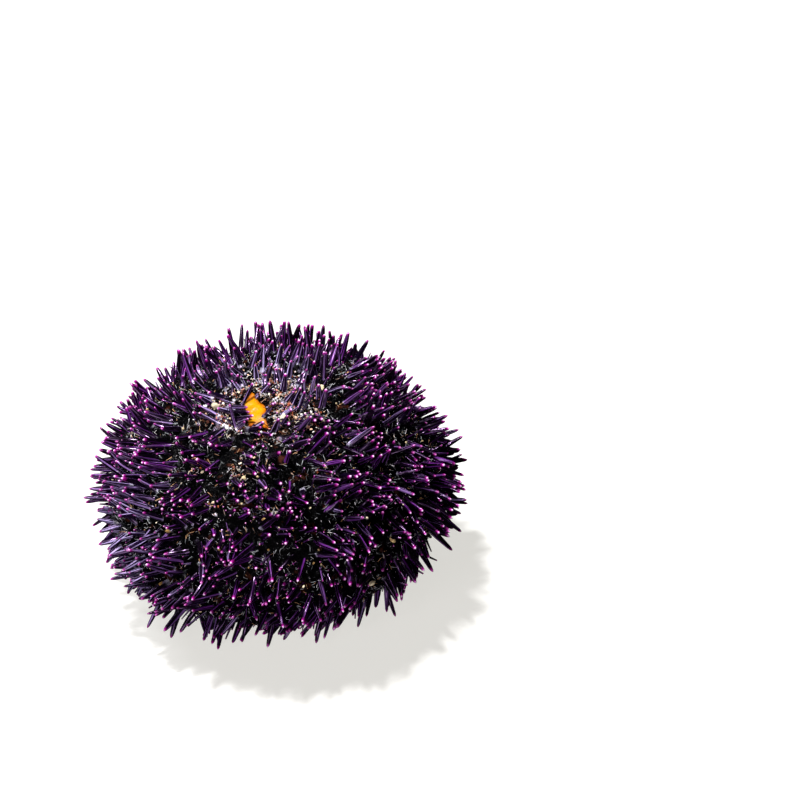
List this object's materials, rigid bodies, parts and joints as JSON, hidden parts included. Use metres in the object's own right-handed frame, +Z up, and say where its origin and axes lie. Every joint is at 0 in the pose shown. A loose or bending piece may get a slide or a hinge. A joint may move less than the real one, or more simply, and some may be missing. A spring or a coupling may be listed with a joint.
{
  "type": "opened sea urchin",
  "caption": "Whole purple sea urchin bristling with dark spines, with a small star-shaped break at the top that shows its orange roe.",
  "frame": {"origin": "on the table, under the middle of the spines' outer box", "axes": "+Z up through the broken apex, +X to the right and -Y to the front; the urchin leans a little to -X"},
  "size_m": [0.0918, 0.093, 0.0556],
  "materials": {
    "spine_purple": "wet, glossy violet-black spines with magenta to lilac tips over black skin",
    "roe_orange": "moist, fine-grained orange-yellow roe"
  },
  "bodies": {
    "root": {"urchin": "spine_purple", "roe": "roe_orange"}
  },
  "joints": []
}
